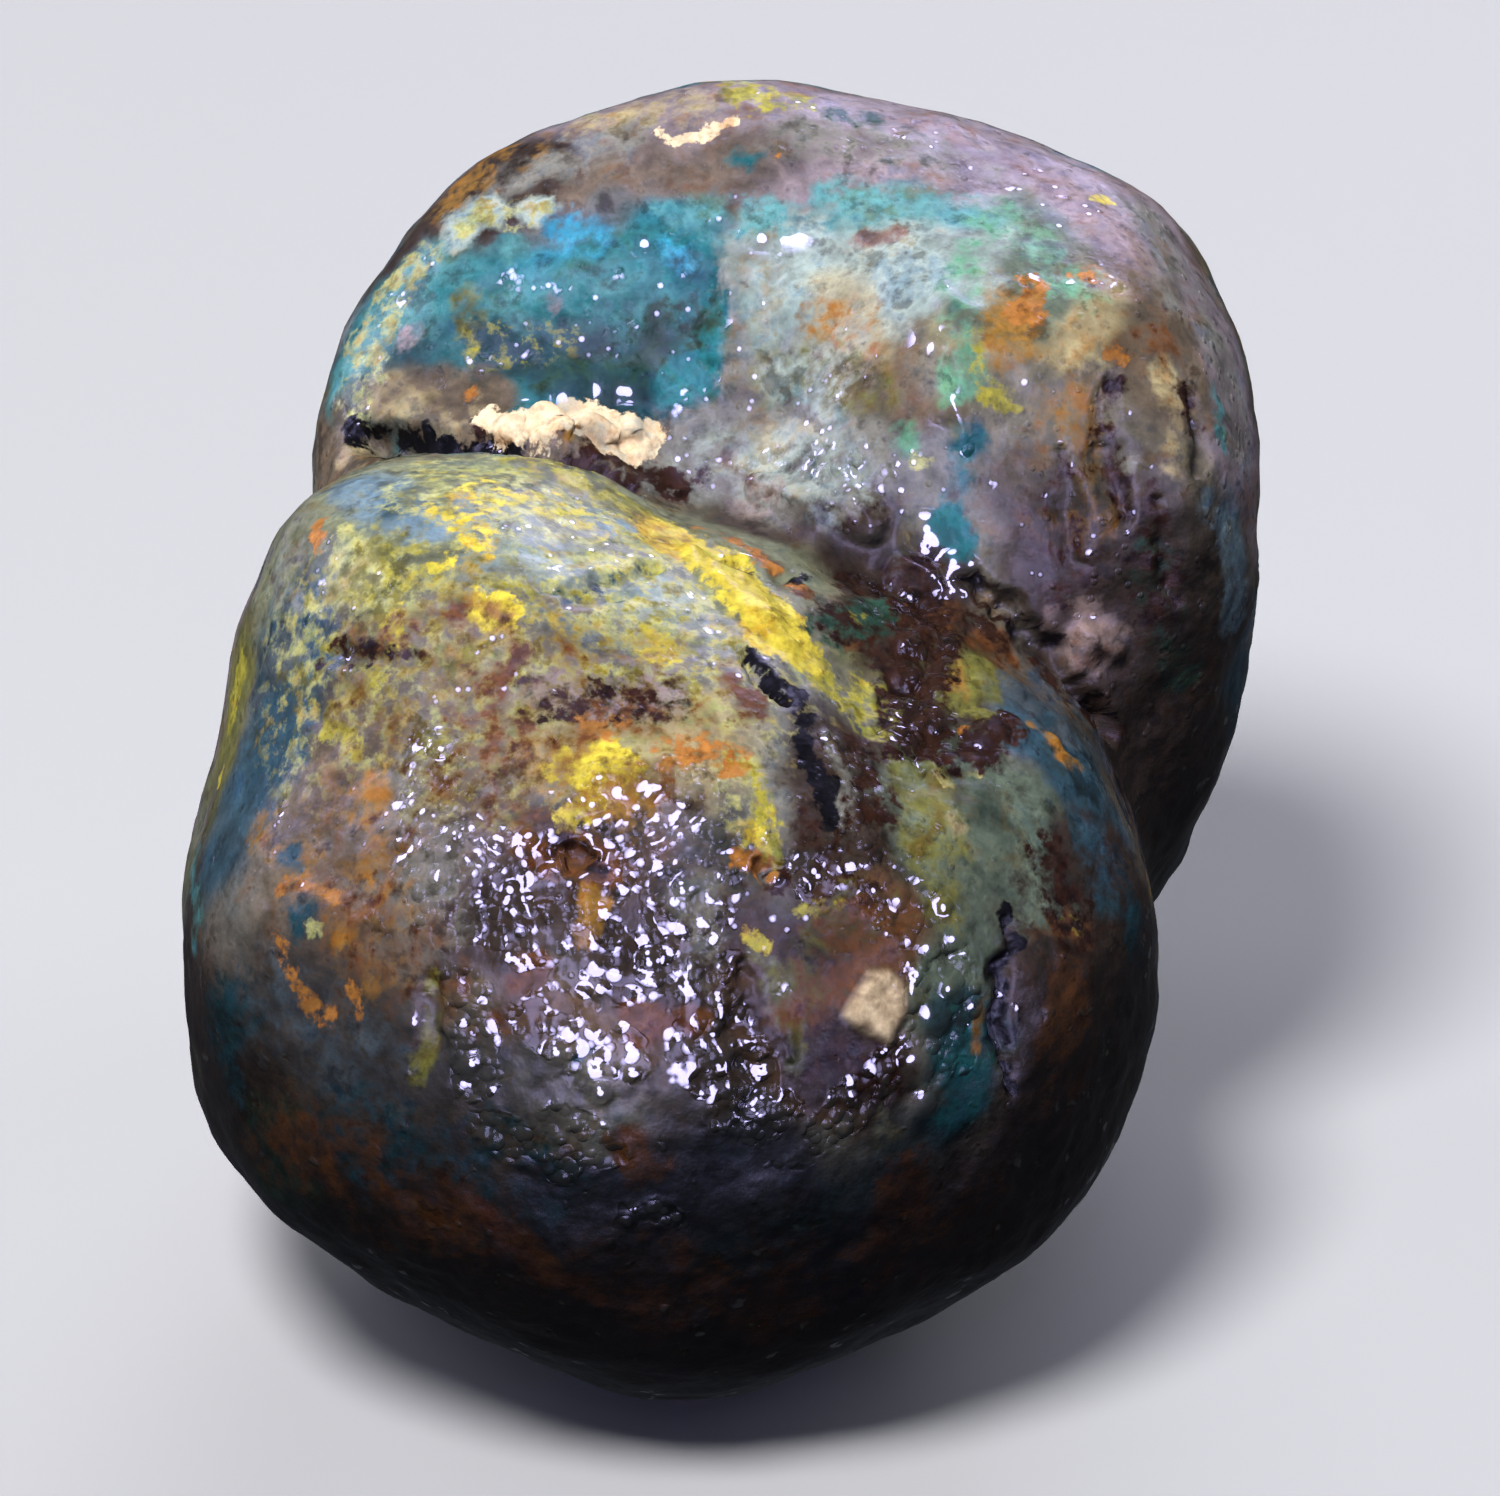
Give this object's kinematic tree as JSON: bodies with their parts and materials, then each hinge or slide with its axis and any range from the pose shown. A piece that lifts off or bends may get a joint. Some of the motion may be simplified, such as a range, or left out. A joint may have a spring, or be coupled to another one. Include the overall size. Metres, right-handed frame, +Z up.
{
  "type": "rough amber nodule",
  "caption": "Rough, water-worn nodule of cloudy blue-green amber with a yellow and rust-brown crust: a round front lobe, a blocky rear mass, a winding crease and a fissure between them.",
  "frame": {"origin": "under the middle of the nodule, on the surface that it lies on", "axes": "+Z up; -Y towards the round front lobe; +X to the right as seen from the front lobe, towards the grey flank"},
  "size_m": [0.0272, 0.03, 0.0268],
  "materials": {
    "amber": "wet, cloudy and mottled amber: teal, olive and grey-lavender under yellow, rust-brown and cream crust"
  },
  "bodies": {
    "root": {"amber_nodule": "amber"}
  },
  "joints": []
}
